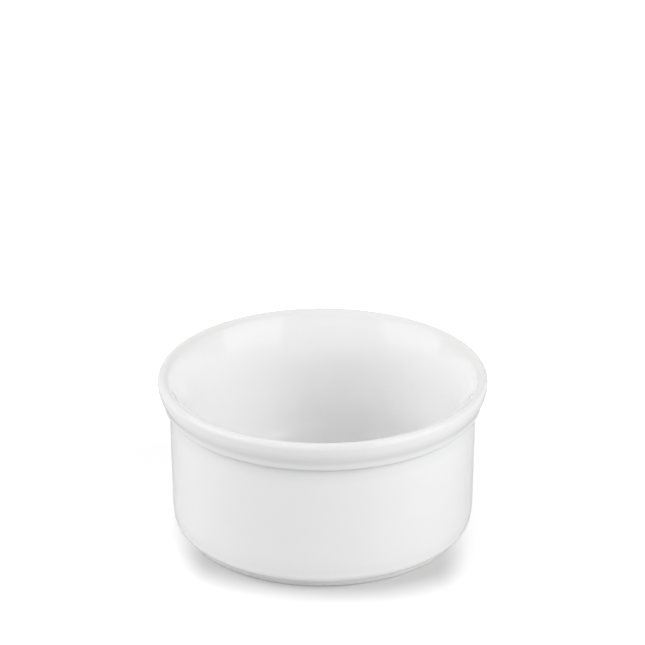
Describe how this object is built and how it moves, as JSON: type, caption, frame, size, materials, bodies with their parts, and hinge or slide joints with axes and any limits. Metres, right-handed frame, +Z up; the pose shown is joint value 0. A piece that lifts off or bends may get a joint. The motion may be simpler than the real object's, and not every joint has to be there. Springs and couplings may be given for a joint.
{
  "type": "ramekin",
  "caption": "Round straight-sided ramekin of white glazed porcelain with a rolled rim, a fine bead under it and a bare foot ring, for baking and serving small portions.",
  "frame": {"origin": "centre of the foot ring, on the plane that the dish stands on", "axes": "+Z up along the axis of the dish; X and Y are equal, because the dish is round"},
  "size_m": [0.09, 0.09, 0.0455],
  "materials": {
    "biscuit": "matt fired clay, unglazed, fine grain",
    "glaze": "white, smooth, high gloss"
  },
  "bodies": {
    "root": {"porcelain_body": "biscuit", "glaze_coat": "glaze", "base_glaze": "glaze"}
  },
  "joints": []
}
